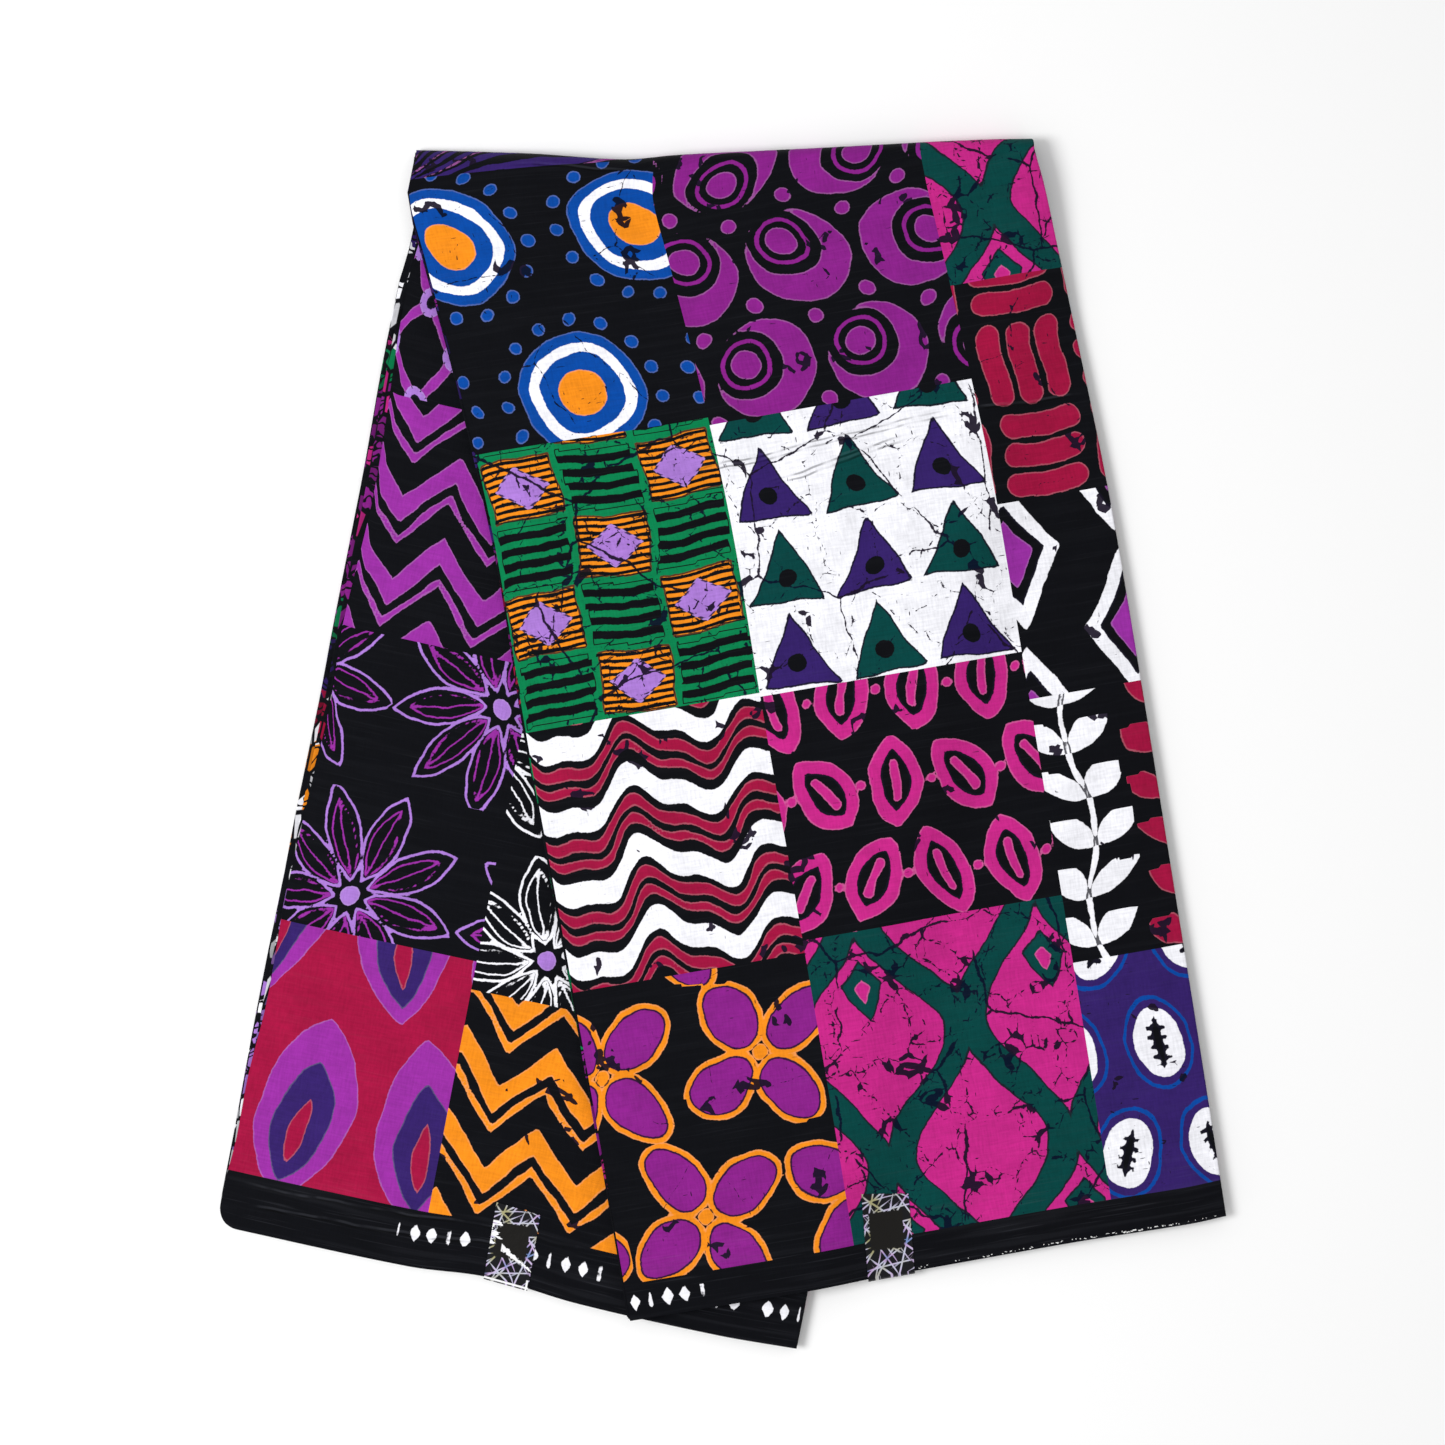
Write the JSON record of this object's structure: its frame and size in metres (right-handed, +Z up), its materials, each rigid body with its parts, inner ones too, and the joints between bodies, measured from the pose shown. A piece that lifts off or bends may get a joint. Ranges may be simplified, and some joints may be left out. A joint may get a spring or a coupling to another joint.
{
  "type": "folded ankara wax-print fabric",
  "caption": "Length of wax-print cotton folded into a strip and doubled over, lying flat as a packet whose two leaves fan out from the fold.",
  "frame": {"origin": "middle of the packet's footprint, on the surface it lies on", "axes": "+X to the right, +Y towards the fold, +Z up from the surface"},
  "size_m": [0.5057, 0.6074, 0.0132],
  "materials": {
    "print_face": "wax-printed cotton, smooth plain weave with a faint sheen",
    "print_back": "wax-printed cotton, smooth plain weave with a faint sheen",
    "print_edges": "folded edges and cut hems of the same cotton",
    "foil_label": "holographic foil film on paper"
  },
  "bodies": {
    "root": {"outer_stretch": "print_face", "inner_stretch": "print_back", "hidden_layers": "print_edges", "front_label": "foil_label", "back_label": "foil_label"}
  },
  "joints": []
}
